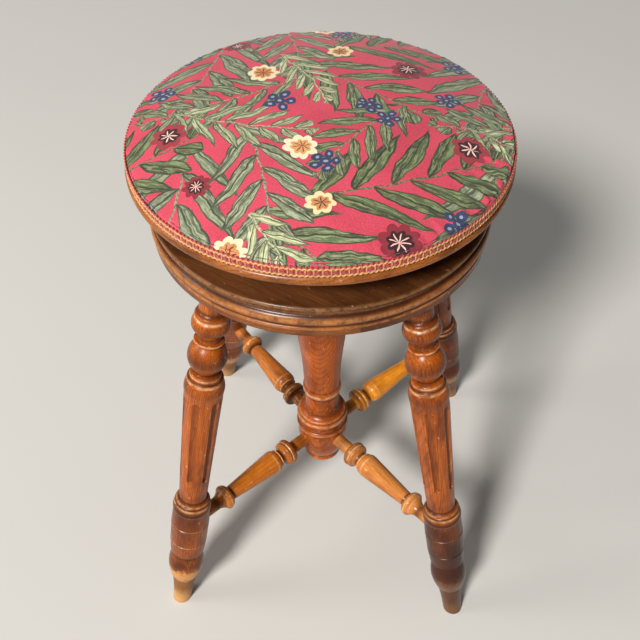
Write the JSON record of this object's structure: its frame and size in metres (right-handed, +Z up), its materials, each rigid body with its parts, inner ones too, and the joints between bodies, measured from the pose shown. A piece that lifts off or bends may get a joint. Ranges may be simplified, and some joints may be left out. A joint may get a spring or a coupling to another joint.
{
  "type": "revolving piano stool",
  "caption": "Round upholstered stool seat that rises and falls on a screw, over a round wooden platform on splayed turned legs joined to a centre column by turned stretchers.",
  "frame": {"origin": "on the floor, on the axis of the column and the seat screw", "axes": "+Z up along the seat screw; -Y the front, +X the right, both seen from the front"},
  "size_m": [0.358, 0.3794, 0.588],
  "materials": {
    "dark_wood": "worn dark red-brown varnish, rubbed pale on raised edges",
    "column_wood": "satin red-brown varnish over open grain",
    "honey_wood": "satin honey-coloured varnish",
    "printed_cotton": "plain-weave cotton with a botanical print on red",
    "stuffing": "unbleached felted stuffing",
    "gimp": "woven gimp braid, pale gold cords on a red ground",
    "tack_steel": "blued",
    "screw_steel": "dull",
    "iron": "black, oiled"
  },
  "bodies": {
    "frame": {"column": "column_wood", "platform_top": "dark_wood", "platform_plank_left": "dark_wood", "platform_plank_middle": "dark_wood", "platform_plank_right": "dark_wood", "nut_plate": "iron", "nut_plate_screws": "screw_steel", "edge_brad": "screw_steel", "leg_front_left": "dark_wood", "leg_front_right": "dark_wood", "leg_back_left": "dark_wood", "leg_back_right": "dark_wood", "stretcher_front_left": "honey_wood", "stretcher_front_right": "honey_wood", "stretcher_back_left": "honey_wood", "stretcher_back_right": "honey_wood"},
    "washer": {"stop_washer": "iron"},
    "seat": {"seat_cover": "printed_cotton", "seat_stuffing": "stuffing", "gimp_braid": "gimp", "cover_tacks": "tack_steel", "seat_board": "dark_wood", "seat_flange": "iron", "seat_flange_screws": "screw_steel", "seat_screw": "iron", "seat_screw_pin": "iron", "stop_pin": "iron"}
  },
  "joints": [
    {"name": "seat_rise", "type": "slide", "parent": "frame", "child": "washer", "axis": [0, 0, 1], "range_m": [-0.0272, 0.0992]},
    {"name": "seat_turn", "type": "hinge", "parent": "washer", "child": "seat", "pos_m": [0, 0, 0.5], "axis": [0, 0, 1], "range_deg": [-1620, 5940]}
  ],
  "couplings": [
    {"joint": "seat_rise", "follows": "seat_turn", "m_per_rad": 0.00095493}
  ]
}
